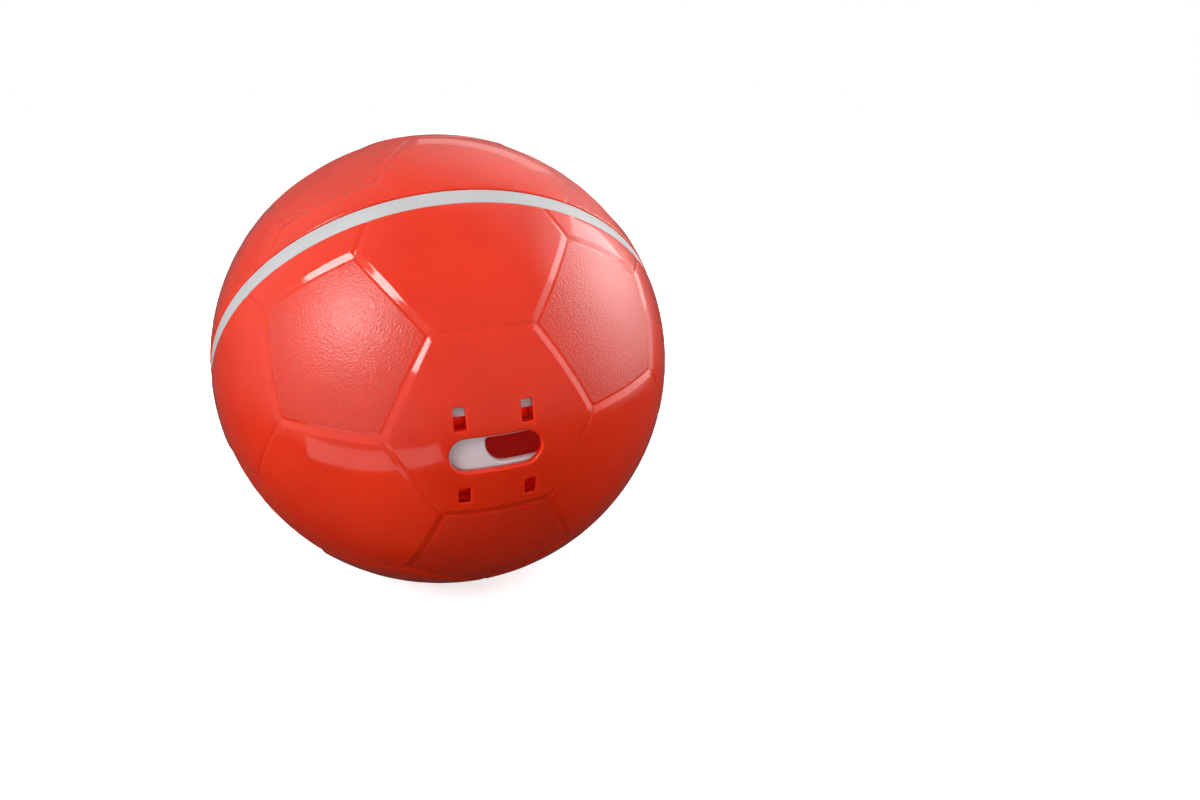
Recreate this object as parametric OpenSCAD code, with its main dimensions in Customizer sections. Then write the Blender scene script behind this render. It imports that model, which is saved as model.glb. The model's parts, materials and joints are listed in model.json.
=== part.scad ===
// Treat-dispensing dog ball: two panelled half shells on a joining ring, with a sliding gate behind a slot.
// The origin is the ball's centre, +Z is up, and the slot faces -Y. Lengths are in millimetres, angles in degrees.

/* [Ball] */
// Outer diameter of the ball
ball_d = 120; // [100:1:150]
// Wall thickness of both half shells
wall_t = 1.6; // [1.4:0.1:3.5]
// Tilt of the axis that joins the halves, away from upright
axis_tilt = 58.2; // [45:0.1:70]

/* [Panels] */
// Width of the grooves round the pentagons
groove_w = 1.8; // [1:0.1:2.4]
// Depth of the grooves round the pentagons
groove_depth = 0.4; // [0.3:0.05:0.9]
// Depth of the seams between two hexagons, which have the same slopes
seam_depth = 0.2; // [0.1:0.05:0.25]
// Turn of the upper half shell from the lower one's pattern
upper_turn = 8; // [-36:1:36]

/* [Joining ring] */
// Width of the band that shows between the half shells
band_w = 4.4; // [3:0.1:7]
// How far the band lies below the ball's surface
band_recess = 0.3; // [0.1:0.1:0.8]
// Height of each spigot, from the edge of the band
spigot_h = 6.5; // [5:0.5:12]
// Wall thickness of the spigots
spigot_t = 2; // [1.2:0.1:3]
// Radius of the snap bead on the lower spigot
bead_r = 0.7; // [0.4:0.05:1]
// Number of keys on the upper spigot
key_count = 3; // [2:1:6]
// Width of each key
key_w = 4; // [2:0.5:8]
// How far each key stands out of the upper spigot
key_h = 0.7; // [0.4:0.1:1]
// Running clearance between the ring and the half shells
ring_gap = 0.08; // [0.04:0.01:0.1]

/* [Slot and holes] */
// Length of the slot
slot_len = 20.8; // [16:0.1:26]
// Height of the slot
slot_h = 8; // [6:0.1:11]
// Distance between the centres of a pair of holes
hole_pitch = 15; // [12:0.1:18]
// Width of the four holes
hole_w = 2.7; // [2:0.1:4]
// Height of the two upper holes
upper_hole_h = 5.2; // [4.5:0.1:7]
// Height of the two lower holes
lower_hole_h = 4; // [3.5:0.1:6]
// Wall left between the slot and the upper holes
upper_bridge = 2; // [1.6:0.1:4]
// Wall left between the slot and the lower holes
lower_bridge = 4.1; // [3:0.1:5]

/* [Slide gate] */
// Thickness of the gate's curved plate
gate_t = 1.8; // [1.2:0.1:2.4]
// Clearance of the gate to the shell, the hooks and its stops
gate_gap = 0.3; // [0.2:0.05:0.5]
// Turn of the gate from fully open to its far stop
gate_sweep = 15.7; // [12:0.1:18]
// Turn of the gate from fully open to where it rests
gate_rest = 8.2; // [0:0.1:12]
// Height of the rail along the gate's top edge
rail_h = 2.6; // [2:0.1:4]
// Height that the gate's opening falls short of the slot at its lower edge
sill_h = 0.5; // [0.2:0.1:1]
// Height that the gate's opening falls short of the slot at its upper edge
lintel_h = 0.9; // [0.5:0.1:1.5]
// Radius of the lower corners of the gate's opening
opening_r = 5; // [1.5:0.1:5.4]
// Width of the plate beyond the outermost cut at each end
end_w = 2.6; // [2:0.1:5]

/* [Hooks] */
// Thickness of the hooks' lips
lip_t = 1.8; // [1.2:0.1:2.5]
// Width of the upper hooks' legs, along the gate's travel
leg_w = 2; // [1.4:0.1:3]
// Height of the upper hooks' legs
leg_h = 3; // [2:0.1:3.2]
// How far the upper hooks' legs start below the upper holes
leg_drop = 0.75; // [0.3:0.05:1]
// Thickness of the lower hooks' legs
lower_leg_t = 1.6; // [1.2:0.1:2.5]
// How far the lips reach over the gate's edges
lip_reach = 1.8; // [1.2:0.1:2]

/* [Hidden] */
$fn = 96;

// Radii from the centre outwards to the shell
ball_r = ball_d / 2;
shell_ri = ball_r - wall_t;
gate_ro = shell_ri - gate_gap;
gate_ri = gate_ro - gate_t;
lip_ro = gate_ri - gate_gap;
lip_ri = lip_ro - lip_t;

// The half shells are cylindrical inside where the spigots run, up to a little past the spigots
spigot_run = 1.5;
land_top = band_w / 2 + spigot_h + spigot_run;
land_r = sqrt(shell_ri * shell_ri - land_top * land_top);
spigot_r = land_r - ring_gap;
bead_z = -band_w / 2 - spigot_h / 2;
// The keys stop a little short of the spigot's end
key_len = spigot_h - 0.5;

// Heights of the slot, the holes and the gate's edges, from the middle of the slot
upper_hole_z = slot_h / 2 + upper_bridge;
lower_hole_top = -slot_h / 2 - lower_bridge;
lower_hole_z = lower_hole_top - lower_hole_h;
opening_z = -slot_h / 2 + sill_h;
opening_top = slot_h / 2 - lintel_h;
leg_z = upper_hole_z - leg_drop;
leg_top = leg_z + leg_h;
window_z = leg_z - gate_gap;
window_top = leg_top + gate_gap;
gate_top = window_top + rail_h;
gate_z = lower_hole_top - gate_gap;
lower_leg_z = lower_hole_z - lower_leg_t;

// Angles round Z from the middle of the slot, at the gate's plate
gap_a = width_angle(gate_gap);
hole_in_a = width_angle(hole_pitch / 2 - hole_w / 2);
hole_out_a = width_angle(hole_pitch / 2 + hole_w / 2);
leg_in_a = hole_out_a + gap_a;
leg_out_a = leg_in_a + width_angle(leg_w);
gate_end_a = leg_out_a + gap_a + width_angle(end_w);

// Reach of the cutting shapes past what they cut: right through the ball, and just through a surface
bigger = ball_r * 2;
skin = 1;

// Directions of the panel corners: pentagons sit on the pole and in a ring, as on a football
ring_lat = atan(0.5);
pole_pentagon = [0, 0, -1];

function width_angle(width) = asin(width / gate_ro);
function unit(v) = v / norm(v);
function on_ball(lon, lat) = [cos(lat) * cos(lon), cos(lat) * sin(lon), sin(lat)];
function ring_pentagon(k) = on_ball(72 * k - 54, -ring_lat);
function far_pentagon(k) = on_ball(72 * k - 18, ring_lat);
function panel_corner(near, far) = unit(2 * near + far);
// The five corners of a pentagon, given its neighbours in order
function pentagon_edges(centre, neighbours) = [
  for (i = [0:4])
    [panel_corner(centre, neighbours[i]), panel_corner(centre, neighbours[(i + 1) % 5])]
];
function seam(a, b) = [panel_corner(a, b), panel_corner(b, a)];

// The grooves and seams of the lower half as their two end directions, those over the rim included
pentagon_grooves = concat(
  pentagon_edges(pole_pentagon, [for (k = [0:4]) ring_pentagon(k)]),
  [
    for (k = [0:4])
      each pentagon_edges(
        ring_pentagon(k),
        [pole_pentagon, ring_pentagon(k + 1), far_pentagon(k), far_pentagon(k - 1), ring_pentagon(k - 1)]
      )
  ]
);
hexagon_seams = concat(
  [for (k = [0:4]) seam(pole_pentagon, ring_pentagon(k))],
  [for (k = [0:4]) seam(ring_pentagon(k), ring_pentagon(k + 1))],
  [for (k = [0:4]) seam(ring_pentagon(k), far_pentagon(k))],
  [for (k = [0:4]) seam(ring_pentagon(k), far_pentagon(k - 1))]
);

// Turns from the frame of the joining axis, where that axis is Z, to the part's own frame
module on_axis() {
  rotate([-axis_tilt, 0, 0]) children();
}

// One V-shaped groove along the ball's surface between two directions
module groove(ends, depth) {
  x = ends[0];
  z = unit(cross(ends[0], ends[1]));
  y = cross(z, x);
  mouth_w = groove_w * (depth + skin) / groove_depth;
  multmatrix([for (i = [0:2]) [x[i], y[i], z[i], 0]])
    rotate_extrude(angle = acos(ends[0] * ends[1]))
      polygon([
        [ball_r - depth, 0],
        [ball_r + skin, -mouth_w / 2],
        [ball_r + skin, mouth_w / 2]
      ]);
}

// The half of the ball below the band, in the frame of the joining axis
module half_shell() {
  difference() {
    sphere(ball_r);
    intersection() {
      sphere(shell_ri);
      cylinder(h = 2 * bigger, r = land_r, center = true);
    }
    translate([-bigger, -bigger, -band_w / 2]) cube(2 * bigger);
    for (ends = pentagon_grooves) groove(ends, groove_depth);
    for (ends = hexagon_seams) groove(ends, seam_depth);
  }
}

// A block that spans angles round Z from the slot's middle and heights, cut out of a layer between two radii
module layer_block(from_a, to_a, from_z, to_z, inner_r, outer_r) {
  intersection() {
    difference() {
      sphere(outer_r);
      sphere(inner_r);
    }
    rotate([0, 0, from_a - 90])
      rotate_extrude(angle = to_a - from_a)
        translate([inner_r / 2, from_z])
          square([outer_r, to_z - from_z]);
  }
}

// A cut straight through the wall on the slot's side, from an outline drawn in X and Z
module front_cut() {
  rotate([90, 0, 0]) linear_extrude(bigger) children();
}

module slot_cut() {
  front_cut() {
    square([slot_len - slot_h, slot_h], center = true);
    for (side = [-1, 1])
      translate([side * (slot_len - slot_h) / 2, 0]) circle(slot_h / 2);
  }
}

module hole_cuts() {
  for (side = [-1, 1]) {
    front_cut()
      translate([side * hole_pitch / 2 - hole_w / 2, upper_hole_z]) square([hole_w, upper_hole_h]);
    front_cut()
      translate([side * hole_pitch / 2 - hole_w / 2, lower_hole_z]) square([hole_w, lower_hole_h]);
  }
}

// The hooks on the right of the slot: a leg from the shell and a lip behind the gate's edge
module right_hooks() {
  root_r = shell_ri + wall_t / 4;
  lip_top = window_top + lip_reach;
  layer_block(leg_in_a, leg_out_a, leg_z, leg_top, lip_ri, root_r);
  layer_block(hole_in_a, leg_out_a, leg_z, lip_top, lip_ri, lip_ro);
  layer_block(hole_in_a, hole_out_a, lower_leg_z, lower_hole_z, lip_ri, root_r);
  layer_block(hole_in_a, hole_out_a, lower_leg_z, gate_z + lip_reach, lip_ri, lip_ro);
}

module lower_shell() {
  color([0.85, 0.16, 0.12]) {
    difference() {
      on_axis() half_shell();
      slot_cut();
      hole_cuts();
      on_axis()
        rotate_extrude() translate([land_r, bead_z]) circle(bead_r + ring_gap);
    }
    right_hooks();
    mirror([1, 0, 0]) right_hooks();
  }
}

// Axial keys on the upper spigot, or the keyways they run in when grown by a clearance
module keys(grow) {
  depth = spigot_t / 2;
  for (k = [0:key_count - 1])
    rotate([0, 0, 360 / key_count * k])
      translate([spigot_r - depth, -key_w / 2 - grow, band_w / 2 - grow])
        cube([depth + key_h + grow, key_w + 2 * grow, key_len + 2 * grow]);
}

module upper_shell() {
  color([0.85, 0.16, 0.12])
    on_axis()
      difference() {
        rotate([0, 0, upper_turn]) mirror([0, 0, 1]) half_shell();
        keys(ring_gap);
      }
}

module joining_ring() {
  rim_z = band_w / 2 - ring_gap;
  spigot_end = band_w / 2 + spigot_h;
  color([0.82, 0.83, 0.86])
    on_axis() {
      rotate_extrude() {
        translate([spigot_r - spigot_t, -spigot_end]) square([spigot_t, 2 * spigot_end]);
        translate([spigot_r - spigot_t / 2, -rim_z])
          square([ball_r - band_recess - spigot_r + spigot_t / 2, 2 * rim_z]);
        translate([land_r, bead_z]) circle(bead_r);
      }
      keys(0);
    }
}

// The windows that the upper hooks' legs run in, between their stops
module leg_window(from_a, to_a) {
  layer_block(from_a - gate_sweep - gap_a, to_a + gap_a, window_z, window_top, gate_ri - skin, gate_ro + skin);
}

// As long as the slot, with its lower corners rounded at most over its whole height
module gate_opening() {
  height = opening_top - opening_z;
  corner_r = min(opening_r, height);
  intersection() {
    front_cut()
      translate([-slot_len / 2, opening_z]) square([slot_len, height]);
    front_cut()
      translate([-slot_len / 2, opening_z]) {
        translate([corner_r, 0]) square([slot_len - 2 * corner_r, height]);
        translate([0, corner_r]) square([slot_len, height]);
        for (x = [corner_r, slot_len - corner_r])
          translate([x, corner_r]) circle(corner_r);
      }
  }
}

// Drawn fully open, with its opening in line with the slot, then turned to where it rests
module slide_gate() {
  color([0.8, 0.79, 0.82])
    rotate([0, 0, gate_rest])
      difference() {
        layer_block(-gate_end_a - gate_sweep, gate_end_a, gate_z, gate_top, gate_ri, gate_ro);
        gate_opening();
        leg_window(leg_in_a, leg_out_a);
        leg_window(-leg_out_a, -leg_in_a);
      }
}

lower_shell();
upper_shell();
joining_ring();
slide_gate();
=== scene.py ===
"""Looks of a treat-dispensing dog ball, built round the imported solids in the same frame.

Meshes are worked out in millimetres. The half shells and the ring are drawn in the frame of the joining
axis, where that axis is Z and the lower half lies below, and are then turned into the part's own frame, in
metres.
"""
import json
import math

import bmesh
import bpy
import numpy as np
from mathutils import Matrix, Vector
from mathutils.geometry import delaunay_2d_cdt


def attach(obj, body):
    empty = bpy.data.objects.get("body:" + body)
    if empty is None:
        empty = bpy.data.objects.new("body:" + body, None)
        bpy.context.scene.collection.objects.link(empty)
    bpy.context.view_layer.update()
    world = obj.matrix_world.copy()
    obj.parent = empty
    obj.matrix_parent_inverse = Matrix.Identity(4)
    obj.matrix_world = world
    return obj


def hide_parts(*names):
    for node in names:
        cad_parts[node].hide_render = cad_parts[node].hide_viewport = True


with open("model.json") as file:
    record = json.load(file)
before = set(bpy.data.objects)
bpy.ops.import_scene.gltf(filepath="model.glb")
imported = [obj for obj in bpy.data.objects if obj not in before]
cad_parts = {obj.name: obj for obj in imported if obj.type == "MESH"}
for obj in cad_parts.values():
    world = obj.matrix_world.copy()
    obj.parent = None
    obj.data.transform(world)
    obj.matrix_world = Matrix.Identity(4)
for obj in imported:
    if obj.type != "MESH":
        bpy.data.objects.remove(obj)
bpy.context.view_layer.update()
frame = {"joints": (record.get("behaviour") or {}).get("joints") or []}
MM = 0.001

# Sizes of the solids, in millimetres and degrees
BALL_R = 60.0
WALL_T = 1.6
BAND_W = 4.4
BAND_RECESS = 0.3
SPIGOT_H = 6.5
SPIGOT_T = 2.0
SPIGOT_RUN = 1.5
BEAD_R = 0.7
RING_GAP = 0.08
KEY_COUNT = 3
KEY_W = 4.0
KEY_H = 0.7
KEY_LEN = 6.0
UPPER_TURN = 8.0
SLOT_LEN = 20.8
SLOT_H = 8.0
HOLE_PITCH = 15.0
HOLE_W = 2.7
UPPER_HOLE = (6.0, 11.2)
LOWER_HOLE = (-12.1, -8.1)
GATE_GAP = 0.3
GATE_T = 1.8
GATE_REST = 8.2
GATE_SWEEP = 15.7
GATE_Z = (-8.4, 11.15)
GATE_OPENING_Z = (-3.5, 3.1)
GATE_WINDOW_Z = (4.95, 8.55)
GATE_END_W = 2.6
OPENING_R = 5.0
LIP_T = 1.8
LIP_REACH = 1.8
LEG_W = 2.0
LEG_Z = (5.25, 8.25)
LOWER_LEG_T = 1.6

# Details that only the looks have, in millimetres
EDGE_DEPTH = 0.42
PENTAGON_RECESS = 0.36
BEVEL_W = 1.8
PENTAGON_EDGE_W = 0.55
SEAM_DEPTH = 0.15
SEAM_W = 0.95
SHOULDER = 0.16
RIM_R = 0.35
SLOT_RIM_R = 0.6
HOLE_RIM_R = 0.2
HOLE_CORNER_R = 0.25
GATE_CORNER_R = 1.5
GATE_EDGE_R = 0.25
OPENING_TOP_R = 0.8
WINDOW_CORNER_R = 0.4
BAND_EDGE_R = 0.25
BLOCK_EDGE_R = 0.2

# Radii and heights that follow from the sizes
SHELL_RI = BALL_R - WALL_T
LAND_TOP = BAND_W / 2 + SPIGOT_H + SPIGOT_RUN
LAND_R = math.sqrt(SHELL_RI ** 2 - LAND_TOP ** 2)
SPIGOT_R = LAND_R - RING_GAP
SPIGOT_END = BAND_W / 2 + SPIGOT_H
BEAD_Z = -BAND_W / 2 - SPIGOT_H / 2
GATE_RO = SHELL_RI - GATE_GAP
GATE_RI = GATE_RO - GATE_T
LIP_RO = GATE_RI - GATE_GAP
LIP_RI = LIP_RO - LIP_T

# The joining axis, and the turn from its frame to the part's own
twist_axis = Vector(next(j["axis"] for j in frame["joints"] if j["name"] == "upper_twist"))
AXIS_TURN = np.array(Matrix.Rotation(-math.atan2(twist_axis.y, twist_axis.z), 3, "X"))


def unit(v):
    v = np.asarray(v, float)
    return v / np.linalg.norm(v, axis=-1, keepdims=True)


def on_ball(lon, lat):
    """Direction at a longitude and latitude in degrees round the joining axis."""
    lon, lat = math.radians(lon), math.radians(lat)
    return np.array([math.cos(lat) * math.cos(lon), math.cos(lat) * math.sin(lon), math.sin(lat)])


def slerp(a, b, share):
    """Directions on the great circles from a to b, at a share of the way."""
    turn = np.arccos(np.clip((a * b).sum(-1, keepdims=True), -1, 1))
    return (np.sin((1 - share) * turn) * a + np.sin(share * turn) * b) / np.sin(turn)


def in_order(centre, points):
    """The points anticlockwise round a centre, seen from outside the ball."""
    east = unit(np.cross(centre, [0.31, 0.57, 0.76]))
    north = np.cross(centre, east)
    angles = np.arctan2(points @ north, points @ east)
    return points[np.argsort(angles)]


# Football panels: pentagons on the poles and in two rings, with hexagons between every three neighbours
RING_LAT = math.degrees(math.atan(0.5))
PENTAGONS = np.array(
    [on_ball(0, -90)]
    + [on_ball(72 * k - 54, -RING_LAT) for k in range(5)]
    + [on_ball(72 * k - 18, RING_LAT) for k in range(5)]
    + [on_ball(0, 90)]
)
NEIGHBOURS = [[j for j in range(12) if 0.4 < PENTAGONS[i] @ PENTAGONS[j] < 0.5] for i in range(12)]


def corner(i, j):
    """The corner of pentagon i that points at its neighbour j."""
    return unit(2 * PENTAGONS[i] + PENTAGONS[j])


def edge_normals(corners):
    return unit(np.cross(corners, np.roll(corners, -1, axis=0)))


PENTAGON_CORNERS = [
    in_order(PENTAGONS[i], np.array([corner(i, j) for j in NEIGHBOURS[i]])) for i in range(12)
]
HEXAGON_TRIOS = [
    (i, j, k)
    for i in range(12)
    for j in NEIGHBOURS[i]
    for k in NEIGHBOURS[j]
    if i < j < k and k in NEIGHBOURS[i]
]
PENTAGON_NORMALS = [edge_normals(corners) for corners in PENTAGON_CORNERS]
SEAMS = [(corner(i, j), corner(j, i)) for i in range(12) for j in NEIGHBOURS[i] if i < j]
SLOT_TRIO = (0, 1, 5)


def hexagon(trio):
    """Centre and corners of the hexagon between three pentagons."""
    centre = unit(PENTAGONS[list(trio)].sum(0))
    return centre, in_order(centre, np.array([corner(i, j) for i in trio for j in trio if i != j]))


def fall(t):
    """From 1 at 0 to 0 at 1 along a straight slope with rounded shoulders."""
    t = np.clip(t, 0, 1)
    steep = 1 / (2 * SHOULDER * (1 - SHOULDER))
    slope = 1 - (t - SHOULDER / 2) / (1 - SHOULDER)
    return np.where(t < SHOULDER, 1 - steep * t ** 2, np.where(t > 1 - SHOULDER, steep * (1 - t) ** 2, slope))


def inside_pentagon(directions):
    """Distance inside the nearest pentagon's outline, negative outside it."""
    inside = np.full(len(directions), -BALL_R)
    for normals in PENTAGON_NORMALS:
        reach = np.arcsin(np.clip(directions @ normals.T, -1, 1)).min(axis=1) * BALL_R
        inside = np.maximum(inside, reach)
    return inside


def panel_depth(directions):
    """Depth of the panelled surface below the ball's sphere in each direction."""
    inside = inside_pentagon(directions)
    from_seam = np.full(len(directions), BALL_R)
    for a, b in SEAMS:
        near = directions @ unit(a + b) > 0.99 * (a @ unit(a + b))
        distance = np.abs(np.arcsin(np.clip(directions @ unit(np.cross(a, b)), -1, 1))) * BALL_R
        from_seam = np.where(near, np.minimum(from_seam, distance), from_seam)
    bevel = EDGE_DEPTH * fall(-inside / BEVEL_W)
    seam = SEAM_DEPTH * fall(from_seam / SEAM_W)
    pentagon = PENTAGON_RECESS + (EDGE_DEPTH - PENTAGON_RECESS) * fall(inside / PENTAGON_EDGE_W)
    return np.where(inside > 0, pentagon, np.maximum(bevel, seam))


def panel_normals(directions):
    """Normals of the panelled surface, from the slope of its depth."""
    step = 0.03 / BALL_R
    east = unit(np.cross(directions, [0.31, 0.57, 0.76]))
    normals = directions.copy()
    for tangent in (east, np.cross(directions, east)):
        ahead = panel_depth(unit(directions + step * tangent))
        behind = panel_depth(unit(directions - step * tangent))
        normals += ((ahead - behind) / (2 * step * BALL_R))[:, None] * tangent
    return unit(normals)


class Sheet:
    """Vertices and faces gathered for one mesh. Parts that meet are welded when it is built."""

    def __init__(self):
        self.verts = []
        self.faces = []

    def add(self, verts, faces):
        start = len(self.verts)
        self.verts.extend(np.asarray(verts, float))
        self.faces.extend([[start + i for i in face] for face in faces])
        return np.arange(start, len(self.verts))

    def bmesh(self):
        mesh = bpy.data.meshes.new("sheet")
        mesh.from_pydata([tuple(v) for v in self.verts], [], self.faces)
        bm = bmesh.new()
        bm.from_mesh(mesh)
        bpy.data.meshes.remove(mesh)
        bmesh.ops.remove_doubles(bm, verts=bm.verts, dist=2e-4)
        return bm

    def add_bmesh(self, bm):
        """Takes over a bmesh's vertices and faces, and frees it."""
        bm.verts.index_update()
        self.add([v.co[:] for v in bm.verts], [[v.index for v in f.verts] for f in bm.faces])
        bm.free()

    def welded(self):
        """Vertices and faces with all parts welded and every face turned outwards."""
        bm = self.bmesh()
        bmesh.ops.recalc_face_normals(bm, faces=bm.faces)
        bm.verts.index_update()
        verts = np.array([v.co[:] for v in bm.verts])
        faces = [[v.index for v in f.verts] for f in bm.faces]
        bm.free()
        return verts, faces


def ring_faces(count, rings):
    """Quads between neighbouring rings of count points each, numbered ring by ring."""
    faces = []
    for ring in range(rings - 1):
        here = ring * count
        ahead = here + count
        for i in range(count):
            after = (i + 1) % count
            faces.append([here + i, here + after, ahead + after, ahead + i])
    return faces


def panel_rings(centre, corners, offsets, steps):
    """Rings of directions that follow a panel's outline, each a distance inside it."""
    ahead = np.roll(corners, -1, axis=0)
    outline = np.concatenate([slerp(corners, ahead, step / steps)[:, None] for step in range(steps)], axis=1)
    outline = outline.reshape(-1, 3)
    apothem = math.acos(centre @ unit(corners[0] + corners[1])) * BALL_R
    return [slerp(np.broadcast_to(centre, outline.shape), outline, 1 - d / apothem) for d in offsets]


def add_panel(sheet, centre, corners, offsets, steps):
    """A whole panel, closed with a fan at its centre."""
    rings = panel_rings(centre, corners, offsets, steps)
    count = len(rings[0])
    faces = ring_faces(count, len(rings))
    hub = count * len(rings)
    last = hub - count
    faces += [[last + i, last + (i + 1) % count, hub] for i in range(count)]
    sheet.add(np.concatenate(rings + [centre[None]]), faces)


def outline(x, z, radii, grow=0.0, corner_steps=8, spacing=1.4):
    """A rectangle in X and Z with rounded corners, grown by a distance, anticlockwise from the lower left.

    Outlines that differ only in how far they are grown have matching points."""
    signs = [(-1, -1), (1, -1), (1, 1), (-1, 1)]
    arcs = []
    for i, (sx, sz) in enumerate(signs):
        r = radii[i]
        middle = np.array([x[sx > 0] - sx * r, z[sz > 0] - sz * r])
        turns = np.radians(180 + 90 * i + np.linspace(0, 90, corner_steps + 1))
        arcs.append(middle + (r + grow) * np.stack([np.cos(turns), np.sin(turns)], axis=1))
    points = []
    for i, arc in enumerate(arcs):
        after = arcs[(i + 1) % 4][0]
        points.extend(arc)
        side = (x[1] - x[0], z[1] - z[0])[i % 2] - radii[i] - radii[(i + 1) % 4]
        stops = max(0, math.ceil(side / spacing) - 1)
        points.extend(arc[-1] + (after - arc[-1]) * (k + 1) / (stops + 1) for k in range(stops))
    points = np.array(points)
    apart = np.linalg.norm(points - np.roll(points, 1, axis=0), axis=1) > 1e-6
    return points[apart]


def is_inside(points, loop):
    """Which points lie inside a closed outline."""
    x, z = points[:, 0:1], points[:, 1:2]
    a, b = loop, np.roll(loop, -1, axis=0)
    crosses = (a[:, 1] > z) != (b[:, 1] > z)
    rise = np.where(a[:, 1] == b[:, 1], 1, b[:, 1] - a[:, 1])
    return (crosses & (x < a[:, 0] + (z - a[:, 1]) / rise * (b[:, 0] - a[:, 0]))).sum(1) % 2 == 1


def fill_between(outer, holes, spacing):
    """Points and triangles of the flat area inside one outline and outside the others."""
    loops = [outer] + holes
    edges = []
    start = 0
    for loop in loops:
        edges += [(start + i, start + (i + 1) % len(loop)) for i in range(len(loop))]
        start += len(loop)
    borders = np.concatenate(loops)
    low, high = outer.min(0), outer.max(0)
    lattice = np.array([
        (gx + spacing / 2 * (row % 2), gz)
        for row, gz in enumerate(np.arange(low[1], high[1], spacing * 0.87))
        for gx in np.arange(low[0], high[0], spacing)
    ])
    keep = is_inside(lattice, outer)
    for hole in holes:
        keep &= ~is_inside(lattice, hole)
    lattice = lattice[keep]
    gap = np.linalg.norm(lattice[:, None] - borders[None], axis=2).min(1)
    points = np.concatenate([borders, lattice[gap > spacing * 0.45]])
    result = delaunay_2d_cdt([Vector(p) for p in points], edges, [], 0, 1e-7)
    found = np.array([tuple(v) for v in result[0]])
    faces = np.array(result[2])
    middles = found[faces].mean(1)
    keep = is_inside(middles, outer)
    for hole in holes:
        keep &= ~is_inside(middles, hole)
    return found, faces[keep]


def on_front(points, radius):
    """Points given in X and Z of the part's frame, put on a sphere on the slot's side, in the axis frame."""
    y = -np.sqrt(radius ** 2 - (points ** 2).sum(1))
    return np.stack([points[:, 0], y, points[:, 1]], axis=1) @ AXIS_TURN


def front_cuts(grow):
    """Outlines of the slot and the four holes, grown by their own shares of a rim."""
    half = SLOT_H / 2
    cuts = [outline((-SLOT_LEN / 2, SLOT_LEN / 2), (-half, half), [half] * 4, grow * SLOT_RIM_R, 14)]
    for side in (-1, 1):
        x = (side * HOLE_PITCH / 2 - HOLE_W / 2, side * HOLE_PITCH / 2 + HOLE_W / 2)
        for z in (UPPER_HOLE, LOWER_HOLE):
            cuts.append(outline(x, z, [HOLE_CORNER_R] * 4, grow * HOLE_RIM_R, 5, 0.9))
    return cuts


def add_cut_walls(sheet):
    """Rounded rims and straight walls of the slot and the holes, through to the inner surface."""
    turns = np.radians([0, 18, 36, 54, 72, 90])
    rims = [SLOT_RIM_R] + [HOLE_RIM_R] * 4
    grown = [front_cuts(1 - math.sin(t)) for t in turns]
    for i, rim in enumerate(rims):
        rings = []
        for t, cuts in zip(turns, grown):
            ring = on_front(cuts[i], BALL_R) @ AXIS_TURN.T
            ring[:, 1] += rim * (1 - math.cos(t))
            rings.append(ring @ AXIS_TURN)
        rings.append(on_front(grown[-1][i], SHELL_RI))
        sheet.add(np.concatenate(rings), ring_faces(len(rings[0]), len(rings)))


PENTAGON_OFFSETS = [0, 0.09, 0.18, 0.27, 0.37, 0.46, 0.55, 0.8, 1.6, 3.5, 6.5, 10.5, 14.5]
HEXAGON_OFFSETS = [0, 0.15, 0.29, 0.5, 0.8, 0.95, 1.2, 1.51, 1.65, 1.8, 2.3, 3.8, 7, 11, 15, 18.5]
SLOT_OFFSETS = HEXAGON_OFFSETS[:10] + [1.95]
INNER_OFFSETS = [0, 4, 9, 14]
EDGE_STEPS = 20
INNER_STEPS = 10


def panels(with_slot):
    """Centres and corners of the panels that reach the lower half, without the slot's own panel."""
    found = [(PENTAGONS[i], PENTAGON_CORNERS[i], PENTAGON_OFFSETS) for i in range(6)]
    for trio in HEXAGON_TRIOS:
        centre, corners = hexagon(trio)
        if min(corners[:, 2]) < 0 and not (with_slot and trio == SLOT_TRIO):
            found.append((centre, corners, HEXAGON_OFFSETS))
    return found


def outer_sheet(with_slot):
    """The panelled outside of a half, still reaching past its rim."""
    sheet = Sheet()
    for centre, corners, offsets in panels(with_slot):
        add_panel(sheet, centre, corners, offsets, EDGE_STEPS)
    if with_slot:
        rings = panel_rings(*hexagon(SLOT_TRIO), SLOT_OFFSETS, EDGE_STEPS)
        sheet.add(np.concatenate(rings), ring_faces(len(rings[0]), len(rings)))
        edge = (rings[-1] * BALL_R @ AXIS_TURN.T)[:, [0, 2]]
        points, faces = fill_between(edge, front_cuts(1.0), 1.6)
        sheet.add(on_front(points, BALL_R) / BALL_R, faces)
    verts = np.array(sheet.verts)
    sheet.verts = list(verts * (BALL_R - panel_depth(unit(verts)))[:, None])
    if with_slot:
        add_cut_walls(sheet)
    return sheet


def inner_sheet(with_slot):
    """The smooth inside of a half, still reaching past the land that takes the spigot."""
    sheet = Sheet()
    for centre, corners, _ in panels(with_slot):
        add_panel(sheet, centre, corners, INNER_OFFSETS, INNER_STEPS)
    sheet.verts = list(np.array(sheet.verts) * SHELL_RI)
    if with_slot:
        edge = panel_rings(*hexagon(SLOT_TRIO), [0], INNER_STEPS)[0] * SHELL_RI
        points, faces = fill_between((edge @ AXIS_TURN.T)[:, [0, 2]], front_cuts(0.0), 2.5)
        sheet.add(on_front(points, SHELL_RI), faces)
    return sheet


def cut_below(sheet, height):
    """Cuts a sheet level and keeps what lies below. Returns its mesh and the cut's points, by angle."""
    bm = sheet.bmesh()
    geometry = bm.verts[:] + bm.edges[:] + bm.faces[:]
    bmesh.ops.bisect_plane(
        bm, geom=geometry, dist=1e-5, plane_co=(0, 0, height), plane_no=(0, 0, 1), clear_outer=True
    )
    edge = [v.co.copy() for v in bm.verts if v.is_boundary and abs(v.co.z - height) < 1e-3]
    edge.sort(key=lambda co: math.atan2(co.y, co.x))
    return bm, np.array(edge)


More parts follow.
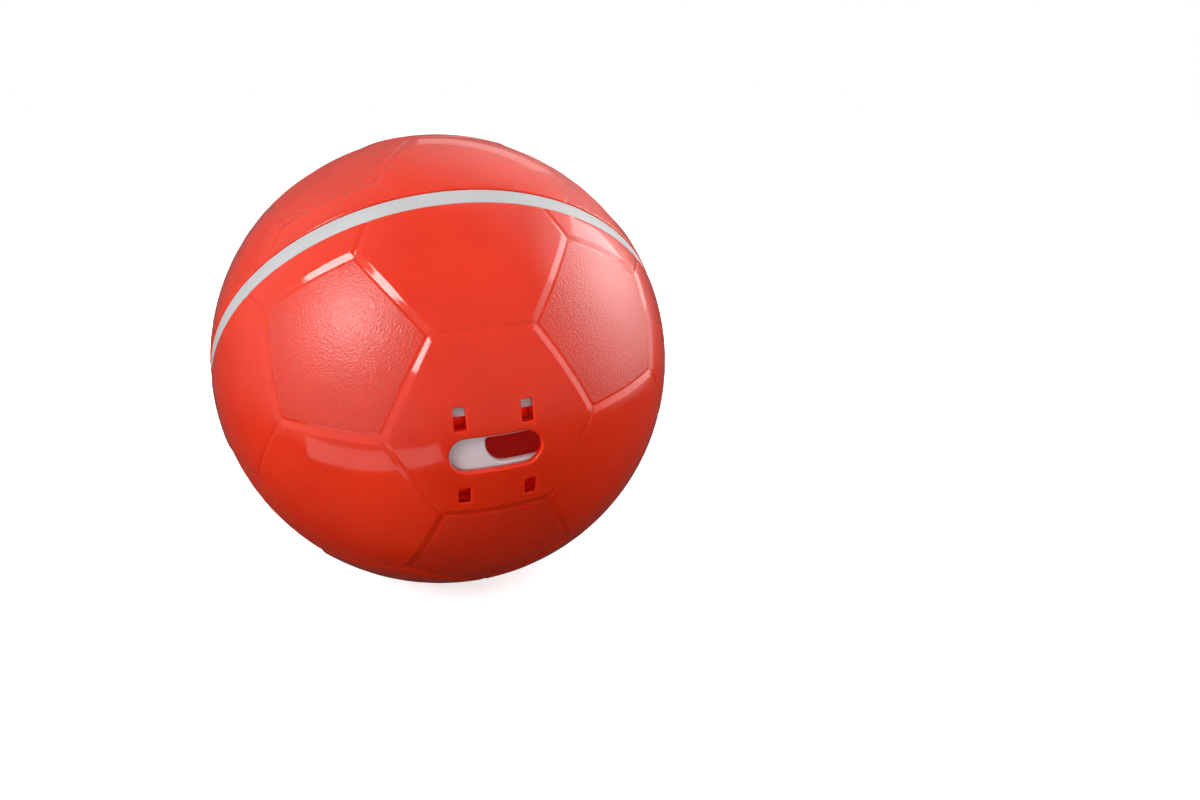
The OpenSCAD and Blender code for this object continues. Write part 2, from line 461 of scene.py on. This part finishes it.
def zip_loops(sheet, a, b):
    """Triangles between two loops round the axis that have points at different angles."""
    ids = sheet.add(np.concatenate([a, b]), [])
    angles = [np.arctan2(loop[:, 1], loop[:, 0]) for loop in (a, b)]
    i = j = 0
    while i < len(a) or j < len(b):
        next_a = angles[0][i + 1] if i + 1 < len(a) else angles[0][(i + 1) % len(a)] + 2 * math.pi
        next_b = angles[1][j + 1] if j + 1 < len(b) else angles[1][(j + 1) % len(b)] + 2 * math.pi
        here_a, here_b = ids[i % len(a)], ids[len(a) + j % len(b)]
        if j >= len(b) or (i < len(a) and next_a <= next_b):
            sheet.faces.append([here_a, ids[(i + 1) % len(a)], here_b])
            i += 1
        else:
            sheet.faces.append([here_a, ids[len(a) + (j + 1) % len(b)], here_b])
            j += 1


def revolve(sheet, profile, angles):
    """Quads of a profile of radii and heights turned round the axis. Radii may be arrays over the angles."""
    rings = []
    for radius, height in profile:
        radius = np.broadcast_to(radius, angles.shape)
        level = np.full(angles.shape, height)
        rings.append(np.stack([radius * np.cos(angles), radius * np.sin(angles), level], axis=1))
    sheet.add(np.concatenate(rings), ring_faces(len(angles), len(rings)))
    return rings


def land_angles():
    """Angles round the land, with two at each side of every keyway, and how deep the keyways are there."""
    angles = list(np.linspace(-math.pi, math.pi, 180, endpoint=False) + 1e-3)
    half = math.asin((KEY_W / 2 + RING_GAP) / LAND_R)
    for k in range(KEY_COUNT):
        middle = math.remainder(2 * math.pi / KEY_COUNT * k, 2 * math.pi)
        for side in (-1, 1):
            angles += [middle + side * half, middle + side * (half + 2e-3)]
    angles = np.array(sorted(math.remainder(a, 2 * math.pi) for a in angles))
    apart = np.abs((angles * KEY_COUNT + math.pi) % (2 * math.pi) - math.pi) / KEY_COUNT
    return angles, np.where(apart < half + 1e-3, KEY_H, 0.0)


def bead_profile(radius, height, bead, grow, steps=8):
    """The part of a round bead that stands out of a wall, as radii and heights going up."""
    turns = np.radians(np.linspace(-90, 90, steps + 1))
    size = bead + grow
    return [(radius + size * math.cos(t), height + size * math.sin(t)) for t in turns]


def half_shell(with_slot):
    """Vertices, faces and outer normals of the lower half, or of its plain twin, in the axis frame."""
    rim_z = -BAND_W / 2
    outer, outer_edge = cut_below(outer_sheet(with_slot), rim_z - RIM_R)
    inner, inner_edge = cut_below(inner_sheet(with_slot), -LAND_TOP)
    closing = Sheet()
    closing.add_bmesh(outer)
    closing.add_bmesh(inner)
    edge_angles = np.arctan2(outer_edge[:, 1], outer_edge[:, 0])
    edge_radii = np.hypot(outer_edge[:, 0], outer_edge[:, 1])
    turns = np.radians([0, 30, 60, 90])
    rim = [(edge_radii - RIM_R * (1 - math.cos(t)), rim_z - RIM_R + RIM_R * math.sin(t)) for t in turns]
    rim_rings = revolve(closing, rim, edge_angles)
    angles, keyway = land_angles()
    if with_slot:
        bead = bead_profile(LAND_R, BEAD_Z, BEAD_R, RING_GAP)[::-1]
        land = [(LAND_R + RIM_R, rim_z), (LAND_R, rim_z - RIM_R)] + bead + [(LAND_R, -LAND_TOP)]
    else:
        land = [
            (LAND_R + np.maximum(RIM_R, keyway), rim_z),
            (LAND_R + keyway, rim_z - RIM_R),
            (LAND_R + keyway, rim_z - KEY_LEN - RING_GAP),
            (LAND_R, rim_z - KEY_LEN - RING_GAP),
            (LAND_R, -LAND_TOP),
        ]
    land_rings = revolve(closing, land, angles)
    zip_loops(closing, rim_rings[-1], land_rings[0])
    zip_loops(closing, land_rings[-1], inner_edge)
    verts, faces = closing.welded()
    directions = unit(verts)
    is_outer = np.abs(np.linalg.norm(verts, axis=1) - BALL_R + panel_depth(directions)) < 0.02
    is_outer &= verts[:, 2] < rim_z - RIM_R + 1e-3
    normals = np.where(is_outer[:, None], panel_normals(directions), 0.0)
    return verts, faces, normals


def grain_faces(verts, faces):
    """Which faces lie in the grained middle of a pentagon, on the outside."""
    middles = np.array([verts[face].mean(0) for face in faces])
    outside = np.linalg.norm(middles, axis=1) > BALL_R - EDGE_DEPTH
    return outside & (inside_pentagon(unit(middles)) > PENTAGON_EDGE_W)


SHARP_ANGLE = 40


def make_object(name, verts, faces, materials, normals=None, material_ids=None):
    """A smooth mesh object from millimetres in the part's frame."""
    mesh = bpy.data.meshes.new(name)
    mesh.from_pydata([tuple(v * MM) for v in verts], [], [list(map(int, f)) for f in faces])
    for material in materials:
        mesh.materials.append(material)
    if material_ids is not None:
        mesh.polygons.foreach_set("material_index", np.asarray(material_ids, np.int32))
    mesh.set_sharp_from_angle(angle=math.radians(SHARP_ANGLE))
    if normals is not None:
        mesh.normals_split_custom_set_from_vertices([tuple(n) for n in normals])
    obj = bpy.data.objects.new(name, mesh)
    bpy.context.scene.collection.objects.link(obj)
    return obj


def layer_block(sheet, angles, heights, radii):
    """A block between angles round Z, heights and radii in the part's frame, with rounded edges."""
    steps = 5
    verts = []
    for r in radii:
        for z in heights:
            for a in np.radians(np.linspace(*angles, steps)):
                reach = math.sqrt(r * r - z * z)
                verts.append((reach * math.sin(a), -reach * math.cos(a), z))
    bm = bmesh.new()
    made = [bm.verts.new(v) for v in verts]

    def grid(r, z, a):
        return made[(r * 2 + z) * steps + a]

    for a in range(steps - 1):
        for r in (0, 1):
            bm.faces.new([grid(r, 0, a), grid(r, 0, a + 1), grid(r, 1, a + 1), grid(r, 1, a)])
            bm.faces.new([grid(0, r, a), grid(0, r, a + 1), grid(1, r, a + 1), grid(1, r, a)])
    for a in (0, steps - 1):
        bm.faces.new([grid(0, 0, a), grid(0, 1, a), grid(1, 1, a), grid(1, 0, a)])
    bmesh.ops.recalc_face_normals(bm, faces=bm.faces)
    sharp = [e for e in bm.edges if e.calc_face_angle(0) > 1.0]
    bmesh.ops.bevel(bm, geom=sharp, offset=BLOCK_EDGE_R, segments=2, affect="EDGES", profile=0.5)
    sheet.add_bmesh(bm)


def width_angle(width):
    """Angle round Z that a width in X takes up at the gate's outer face."""
    return math.degrees(math.asin(width / GATE_RO))


GAP_A = width_angle(GATE_GAP)
HOLE_IN_A = width_angle(HOLE_PITCH / 2 - HOLE_W / 2)
HOLE_OUT_A = width_angle(HOLE_PITCH / 2 + HOLE_W / 2)
LEG_IN_A = HOLE_OUT_A + GAP_A
LEG_OUT_A = LEG_IN_A + width_angle(LEG_W)
GATE_END_A = LEG_OUT_A + GAP_A + width_angle(GATE_END_W)


def hooks():
    """The four hooks behind the holes, as a leg and a lip each, in the part's frame."""
    sheet = Sheet()
    root = SHELL_RI + WALL_T / 4
    lower_leg = (LOWER_HOLE[0] - LOWER_LEG_T, LOWER_HOLE[0])
    upper_lip = (LEG_Z[0], GATE_WINDOW_Z[1] + LIP_REACH)
    lower_lip = (lower_leg[0], GATE_Z[0] + LIP_REACH)
    for side in (-1, 1):
        for start, end, heights, outer in (
            (LEG_IN_A, LEG_OUT_A, LEG_Z, root),
            (HOLE_IN_A, LEG_OUT_A, upper_lip, LIP_RO),
            (HOLE_IN_A, HOLE_OUT_A, lower_leg, root),
            (HOLE_IN_A, HOLE_OUT_A, lower_lip, LIP_RO),
        ):
            layer_block(sheet, (side * start, side * end), heights, (LIP_RI, outer))
    return np.array(sheet.verts), sheet.faces


def slide_gate(material):
    """The curved plate behind the slot, with its opening, two windows and rounded edges."""
    def arc(angle):
        return math.radians(angle) * GATE_RO

    ends = (arc(-GATE_END_A - GATE_SWEEP), arc(GATE_END_A))
    half = arc(width_angle(SLOT_LEN / 2))
    windows = [
        (arc(low - GATE_SWEEP - GAP_A), arc(high + GAP_A))
        for low, high in ((LEG_IN_A, LEG_OUT_A), (-LEG_OUT_A, -LEG_IN_A))
    ]

    def loops(inset):
        plate = outline(ends, GATE_Z, [GATE_CORNER_R] * 4, -inset)
        opening_radii = [OPENING_R, OPENING_R, OPENING_TOP_R, OPENING_TOP_R]
        opening = outline((-half, half), GATE_OPENING_Z, opening_radii, inset, 10)
        window_radii = [WINDOW_CORNER_R] * 4
        return [plate, opening] + [outline(x, GATE_WINDOW_Z, window_radii, inset, 4) for x in windows]

    def place(points, radius):
        turn = points[:, 0] / GATE_RO + math.radians(GATE_REST)
        reach = np.sqrt(radius ** 2 - points[:, 1] ** 2)
        return np.stack([reach * np.sin(turn), -reach * np.cos(turn), points[:, 1]], axis=1)

    sheet = Sheet()
    turns = np.radians([0, 30, 60, 90])
    steps = [(GATE_EDGE_R * (1 - math.sin(t)), GATE_RO - GATE_EDGE_R * (1 - math.cos(t))) for t in turns]
    steps += [(inset, GATE_RI + GATE_RO - radius) for inset, radius in steps[::-1]]
    stacks = [loops(inset) for inset, _ in steps]
    for i in range(4):
        rings = [place(stack[i], radius) for stack, (_, radius) in zip(stacks, steps)]
        sheet.add(np.concatenate(rings), ring_faces(len(rings[0]), len(rings)))
    points, faces = fill_between(stacks[0][0], stacks[0][1:], 1.8)
    for radius in (GATE_RO, GATE_RI):
        sheet.add(place(points, radius), faces)
    return make_object("gate_plate", *sheet.welded(), [material])


def joining_ring(material):
    """The white band with its spigots, snap bead and keys."""
    band_r = BALL_R - BAND_RECESS
    band_z = BAND_W / 2 - RING_GAP
    soft = BAND_EDGE_R
    turns = np.radians([0, 30, 60, 90])
    lower_corner = [(band_r - soft + soft * math.sin(t), -band_z + soft - soft * math.cos(t)) for t in turns]
    upper_corner = [(r, -z) for r, z in lower_corner[::-1]]
    profile = (
        [(SPIGOT_R - SPIGOT_T, -SPIGOT_END), (SPIGOT_R - soft, -SPIGOT_END), (SPIGOT_R, -SPIGOT_END + soft)]
        + bead_profile(SPIGOT_R, BEAD_Z, BEAD_R, 0.0)
        + [(SPIGOT_R, -band_z)] + lower_corner + upper_corner + [(SPIGOT_R, band_z)]
        + [(SPIGOT_R, SPIGOT_END - soft), (SPIGOT_R - soft, SPIGOT_END), (SPIGOT_R - SPIGOT_T, SPIGOT_END)]
    )
    sheet = Sheet()
    angles = np.linspace(0, 2 * math.pi, 240, endpoint=False)
    revolve(sheet, profile + profile[:1], angles)
    for k in range(KEY_COUNT):
        add_key(sheet, 2 * math.pi / KEY_COUNT * k)
    verts, faces = sheet.welded()
    return make_object("band_ring", verts @ AXIS_TURN.T, faces, [material])


def add_key(sheet, angle):
    """One straight key on the upper spigot, rounded along its edges."""
    bm = bmesh.new()
    bmesh.ops.create_cube(bm, size=1.0)
    root = SPIGOT_T / 2
    size = Vector((root + KEY_H, KEY_W, KEY_LEN))
    middle = Vector((SPIGOT_R - root + size.x / 2, 0, BAND_W / 2 + KEY_LEN / 2))
    bmesh.ops.scale(bm, vec=size, verts=bm.verts)
    bmesh.ops.bevel(bm, geom=bm.edges[:], offset=BLOCK_EDGE_R, segments=2, affect="EDGES", profile=0.5)
    bmesh.ops.translate(bm, vec=middle, verts=bm.verts)
    bmesh.ops.rotate(bm, cent=(0, 0, 0), matrix=Matrix.Rotation(angle, 3, "Z"), verts=bm.verts)
    sheet.add_bmesh(bm)


# Materials

class Nodes:
    """Adds nodes to a material or a world and links them by name."""

    def __init__(self, owner):
        self.owner = owner
        owner.use_nodes = True
        self.tree = owner.node_tree
        self.shader = next(n for n in self.tree.nodes if n.type in ("BSDF_PRINCIPLED", "BACKGROUND"))

    def add(self, kind, inputs=None, **settings):
        node = self.tree.nodes.new(kind)
        for key, value in settings.items():
            setattr(node, key, value)
        for key, value in (inputs or {}).items():
            if isinstance(value, bpy.types.NodeSocket):
                self.tree.links.new(value, node.inputs[key])
            else:
                node.inputs[key].default_value = value
        return node

    def set(self, key, value):
        if isinstance(value, bpy.types.NodeSocket):
            self.tree.links.new(value, self.shader.inputs[key])
        else:
            self.shader.inputs[key].default_value = value

    def noise(self, scale, detail=2.0, roughness=0.5):
        place = self.add("ShaderNodeTexCoord").outputs["Object"]
        values = {"Vector": place, "Scale": scale, "Detail": detail, "Roughness": roughness}
        return self.add("ShaderNodeTexNoise", values).outputs["Fac"]

    def ramp(self, factor, stops):
        """A colour ramp from (position, colour) stops."""
        node = self.add("ShaderNodeValToRGB", {"Fac": factor})
        elements = node.color_ramp.elements
        for i, (position, colour) in enumerate(stops):
            element = elements[i] if i < 2 else elements.new(position)
            element.position = position
            element.color = (*colour, 1.0)
        return node.outputs["Color"]

    def range(self, factor, low, high):
        values = {"Value": factor, "To Min": low, "To Max": high}
        return self.add("ShaderNodeMapRange", values).outputs["Result"]

    def smooth_range(self, values):
        return self.add("ShaderNodeMapRange", values, interpolation_type="SMOOTHSTEP").outputs["Result"]

    def bump(self, height, strength, distance, normal=None):
        values = {"Height": height, "Strength": strength, "Distance": distance}
        if normal is not None:
            values["Normal"] = normal
        return self.add("ShaderNodeBump", values).outputs["Normal"]


RED_DEEP = (0.57, 0.022, 0.003)
RED_LIGHT = (0.65, 0.029, 0.005)


def red_base(name, painted_shade_factor=1.0):
    """Red moulded plastic with slight cloudiness in its colour, darkened by a factor of painted shade."""
    nodes = Nodes(bpy.data.materials.new(name))
    reds = [(share, [painted_shade_factor * part for part in red]) for share, red in ((0.3, RED_DEEP), (0.7, RED_LIGHT))]
    nodes.set("Base Color", nodes.ramp(nodes.noise(45, 3), reds))
    nodes.set("IOR", 1.49)
    nodes.set("Subsurface Weight", 1.0)
    nodes.set("Subsurface Radius", (1.0, 0.15, 0.1))
    nodes.set("Subsurface Scale", 0.002)
    return nodes


def red_gloss():
    nodes = red_base("red_gloss")
    nodes.set("Roughness", nodes.range(nodes.noise(160, 4), 0.06, 0.12))
    nodes.set("Normal", nodes.bump(nodes.noise(70, 2), 0.2, 0.0004))
    return nodes.owner


def red_grain():
    """The grained pentagons: fine pebbles with creases, as on leather."""
    # Base colour at 0.92 of the gloss red: painted shade that tones down the grain's patch lit by the key
    # light
    nodes = red_base("red_grain", 0.92)
    nodes.set("Specular IOR Level", 0.65)
    place = nodes.add("ShaderNodeTexCoord").outputs["Object"]
    warp = nodes.add("ShaderNodeTexNoise", {"Vector": place, "Scale": 1500.0}).outputs["Color"]
    moved = nodes.add("ShaderNodeVectorMath", {0: warp, 1: (0.0003,) * 3, 2: place}, operation="MULTIPLY_ADD")
    spread = {"Vector": moved.outputs[0], "Scale": 2800.0}
    cells = nodes.add("ShaderNodeTexVoronoi", spread, feature="SMOOTH_F1")
    fine = nodes.noise(4200, 3, 0.6)
    pebbles = nodes.bump(cells.outputs["Distance"], 0.7, 0.00012)
    nodes.set("Normal", nodes.bump(fine, 0.4, 0.00008, pebbles))
    nodes.set("Roughness", nodes.range(nodes.noise(900, 2), 0.28, 0.37))
    return nodes.owner


def white_matte(name, dark, light, tint_and_painted_bounce):
    """Pale matte plastic between two levels of a slightly tinted grey. On the gate the levels are raised and
    the tint is pink: painted light and painted red bounce.
    """
    nodes = Nodes(bpy.data.materials.new(name))
    shades = [(share, [level * part for part in tint_and_painted_bounce]) for share, level in ((0.3, dark), (0.7, light))]
    nodes.set("Base Color", nodes.ramp(nodes.noise(60, 3), shades))
    nodes.set("Roughness", nodes.range(nodes.noise(300, 3), 0.40, 0.55))
    nodes.set("Normal", nodes.bump(nodes.noise(1500, 3), 0.15, 0.0001))
    nodes.set("Subsurface Weight", 0.1)
    nodes.set("Subsurface Radius", (1.0, 1.0, 1.0))
    nodes.set("Subsurface Scale", 0.001)
    return nodes.owner


def dress():
    """Builds each piece, puts it on its body and lets it stand for its solid."""
    gloss, grain = red_gloss(), red_grain()
    white = white_matte("white_matte", 0.38, 0.42, (1.0, 1.01, 1.03))
    # The gate's copy of the white plastic is lighter than the band's and tinted pink: painted light against
    # the slot's shade, and painted red bounce from the shell
    gate_white_painted_light = white_matte("gate_white_painted_light", 0.47, 0.51, (1.07, 0.92, 0.95))
    verts, faces, normals = half_shell(True)
    hook_verts, hook_faces = hooks()
    ids = grain_faces(verts, faces).astype(int).tolist() + [0] * len(hook_faces)
    all_verts = np.concatenate([verts @ AXIS_TURN.T, hook_verts])
    all_faces = faces + [[len(verts) + i for i in face] for face in hook_faces]
    all_normals = np.concatenate([normals @ AXIS_TURN.T, np.zeros_like(hook_verts)])
    lower = make_object("lower_shell_skin", all_verts, all_faces, [gloss, grain], all_normals, ids)

    verts, faces, normals = half_shell(False)
    turn = np.array(Matrix.Rotation(math.radians(UPPER_TURN), 3, "Z")) @ np.diag([1, 1, -1])
    ids = grain_faces(verts, faces).astype(int)
    faces = [face[::-1] for face in faces]
    to_part = (AXIS_TURN @ turn).T
    upper = make_object("upper_shell_skin", verts @ to_part, faces, [gloss, grain], normals @ to_part, ids)

    for piece, body, node, slot in (
        (lower, "lower_half", "lower_shell", "red_plastic"),
        (upper, "upper_half", "upper_shell", "red_plastic"),
        (joining_ring(white), "ring", "joining_ring", "white_plastic"),
        (slide_gate(gate_white_painted_light), "gate", "slide_gate", "white_plastic"),
    ):
        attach(piece, body)
        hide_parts(node)


# Camera, floor and light

CAMERA_AT = Vector((-0.0381, -0.2401, 0.0913))
CAMERA_LOOK = Vector((0.2989, 0.8682, -0.3962))
CAMERA_ROLL = -0.4
PHOTO_W = 1200
PHOTO_FOCAL = 930.6
SENSOR_W = 36.0


def add_camera():
    data = bpy.data.cameras.new("camera")
    data.sensor_fit = "HORIZONTAL"
    data.sensor_width = SENSOR_W
    data.lens = SENSOR_W * PHOTO_FOCAL / PHOTO_W
    data.clip_start = 0.01
    camera = bpy.data.objects.new("camera", data)
    bpy.context.scene.collection.objects.link(camera)
    turn = CAMERA_LOOK.to_track_quat("-Z", "Y").to_matrix().to_4x4()
    roll = Matrix.Rotation(math.radians(CAMERA_ROLL), 4, "Z")
    camera.matrix_world = Matrix.Translation(CAMERA_AT) @ turn @ roll
    bpy.context.scene.camera = camera


def add_floor():
    """A pale floor that curves up far away. It throws no light back, so the ball keeps its dark underside."""
    reach = 3.0
    curve = 1.0
    wall_height = 3.0
    wall_strips = 8
    sides = 96
    height = (PENTAGON_RECESS - BALL_R) * MM
    profile = [(r, height) for r in (0.05, 0.2, 0.6, 1.2, reach)]
    for t in np.radians([15, 30, 45, 60, 75, 90]):
        profile.append((reach + curve * math.sin(t), height + curve * (1 - math.cos(t))))
    profile.append((reach + curve, height + curve + wall_height))
    sheet = Sheet()
    rings = revolve(sheet, profile, np.linspace(0, 2 * math.pi, sides, endpoint=False))
    sheet.faces.append(list(range(sides)))
    wall_start = (len(rings) - 1 - wall_strips) * sides
    mesh = bpy.data.meshes.new("floor")
    mesh.from_pydata([tuple(v) for v in sheet.verts], [], sheet.faces)
    for name, albedo, glow in (("pale_floor", 0.8, 0.6), ("pale_wall", 0.0, 1.0)):
        nodes = Nodes(bpy.data.materials.new(name))
        nodes.set("Base Color", (albedo, albedo, albedo, 1.0))
        nodes.set("Roughness", 0.9)
        nodes.set("Specular IOR Level", 0.0)
        nodes.set("Emission Color", (1.0, 1.0, 1.0, 1.0))
        nodes.set("Emission Strength", glow)
        mesh.materials.append(nodes.owner)
    for polygon in mesh.polygons:
        polygon.material_index = int(wall_start <= polygon.index < len(mesh.polygons) - 1)
    floor = bpy.data.objects.new("floor", mesh)
    bpy.context.scene.collection.objects.link(floor)
    floor.visible_diffuse = False
    floor.visible_glossy = False
    floor.visible_shadow = False


def towards(azimuth, elevation):
    """Direction at an angle from the slot's side towards +X and an angle above the horizon, in degrees."""
    a, e = math.radians(azimuth), math.radians(elevation)
    return Vector((math.sin(a) * math.cos(e), -math.cos(a) * math.cos(e), math.sin(e)))


def add_light(name, azimuth, elevation, span, radiance, mirrored=True, lights=True, distance=0.7):
    """A soft panel that faces the ball from an azimuth and an elevation.

    Its span is how wide and high it looks from the ball, in degrees. One that isn't mirrored only fills
    shadows, and one that doesn't light is only seen in the gloss."""
    data = bpy.data.lights.new(name, "AREA")
    data.shape = "RECTANGLE"
    data.size, data.size_y = (2 * distance * math.tan(math.radians(s) / 2) for s in span)
    data.energy = radiance * math.pi * data.size * data.size_y
    light = bpy.data.objects.new(name, data)
    bpy.context.scene.collection.objects.link(light)
    away = towards(azimuth, elevation)
    facing = away.to_track_quat("Z", "Y").to_matrix().to_4x4()
    light.matrix_world = Matrix.Translation(away * distance) @ facing
    light.visible_camera = False
    light.visible_glossy = mirrored
    light.visible_diffuse = lights


# Brightness of the room by elevation in degrees, round the front and behind the ball
FRONT_LEVELS = [
    (-90, 0.01), (-60, 0.02), (-45, 0.03), (-30, 0.06), (-21, 0.09), (-17, 0.22), (-8, 0.44), (15, 0.52),
    (90, 0.48),
]
BACK_LEVELS = [
    (-90, 0.02), (-60, 0.03), (-30, 0.06), (-15, 0.1), (0, 0.17), (10, 0.22), (20, 0.3), (35, 0.48),
    (50, 0.58), (90, 0.58),
]

# Soft glows of the room: azimuth, elevation, reach in degrees and level, above and below the table's edge
GLOWS_ABOVE = [
    (92, 14, 43, 2.2),
    (122, 34, 50, 0.6),
    (-62, 2, 50, 0.55),
    (-105, 35, 50, 0.3),
]
GLOWS_BELOW = [(-65, -32, 48, 0.08)]
TABLE_EDGE = (-22, -18)


def add_world():
    """A pale room with soft glows, dark below the table's edge and dim behind the ball."""
    world = bpy.data.worlds.new("studio")
    nodes = Nodes(world)
    direction = nodes.add("ShaderNodeTexCoord").outputs["Generated"]
    split = nodes.add("ShaderNodeSeparateXYZ", {"Vector": direction}).outputs
    height = nodes.add("ShaderNodeMapRange", {"Value": split["Z"], "From Min": -1.0}).outputs["Result"]
    front, back = (
        nodes.ramp(height, [((math.sin(math.radians(e)) + 1) / 2, (level,) * 3) for e, level in levels])
        for levels in (FRONT_LEVELS, BACK_LEVELS)
    )
    behind = nodes.smooth_range({"Value": split["Y"], "From Min": 0.25, "From Max": 0.8})
    room = nodes.add("ShaderNodeMixRGB", {"Fac": behind, "Color1": front, "Color2": back}).outputs["Color"]
    edge_low, edge_high = (math.sin(math.radians(elevation)) for elevation in TABLE_EDGE)
    above = nodes.smooth_range({"Value": split["Z"], "From Min": edge_low, "From Max": edge_high})
    below = nodes.range(above, 1.0, 0.0)
    for side, glows in ((above, GLOWS_ABOVE), (below, GLOWS_BELOW)):
        for azimuth, elevation, reach, level in glows:
            middle = towards(azimuth, elevation)
            near = nodes.add("ShaderNodeVectorMath", {0: direction, 1: middle}, operation="DOT_PRODUCT")
            edge = math.cos(math.radians(reach))
            glow = nodes.smooth_range({"Value": near.outputs["Value"], "From Min": edge, "To Max": level})
            kept = nodes.add("ShaderNodeMath", {0: glow, 1: side}, operation="MULTIPLY").outputs[0]
            room = nodes.add("ShaderNodeVectorMath", {0: room, 1: kept}, operation="ADD").outputs[0]
    nodes.set("Color", room)
    bpy.context.scene.world = world


def add_inner_light(name, place, energy, radius):
    """A red glow inside the ball, as from light that comes through its thin walls."""
    data = bpy.data.lights.new(name, "POINT")
    data.energy = energy
    data.color = (1.0, 0.03, 0.02)
    data.shadow_soft_size = radius * MM
    light = bpy.data.objects.new(name, data)
    bpy.context.scene.collection.objects.link(light)
    light.location = Vector(place) * MM
    light.visible_camera = False
    light.visible_glossy = False


def add_inner_lights():
    """One glow in the middle of the ball, and a faint one behind each hole."""
    add_inner_light("inner_glow", (0, 0, 0), 0.037, 20.0)
    radius = (SHELL_RI + LIP_RO) / 2
    for side in (-1, 1):
        for height in (LEG_Z[1] - 1.0, sum(LOWER_HOLE) / 2):
            x = side * HOLE_PITCH / 2
            y = -math.sqrt(radius ** 2 - x ** 2 - height ** 2)
            add_inner_light("hole_glow", (x, y, height), 4e-5, 0.4)


add_camera()
add_floor()
add_world()
add_light("key", -61, 37, (19.5, 23.5), 14.0)
add_light("side", 98, 23, (40, 26), 2.8)
add_light("back", 159, 24.5, (26, 10), 0.5)
add_light("table_glow", -46.5, -24.5, (59, 10), 1.3, lights=False)
add_light("high_fill", -30, 40, (50, 40), 0.3, mirrored=False)
add_light("front_fill", 5, 8, (50, 40), 1.0, mirrored=False)
add_light("left_fill", -60, 6, (50, 40), 0.75, mirrored=False)
add_inner_lights()
dress()
bpy.context.scene.view_settings.view_transform = "Standard"
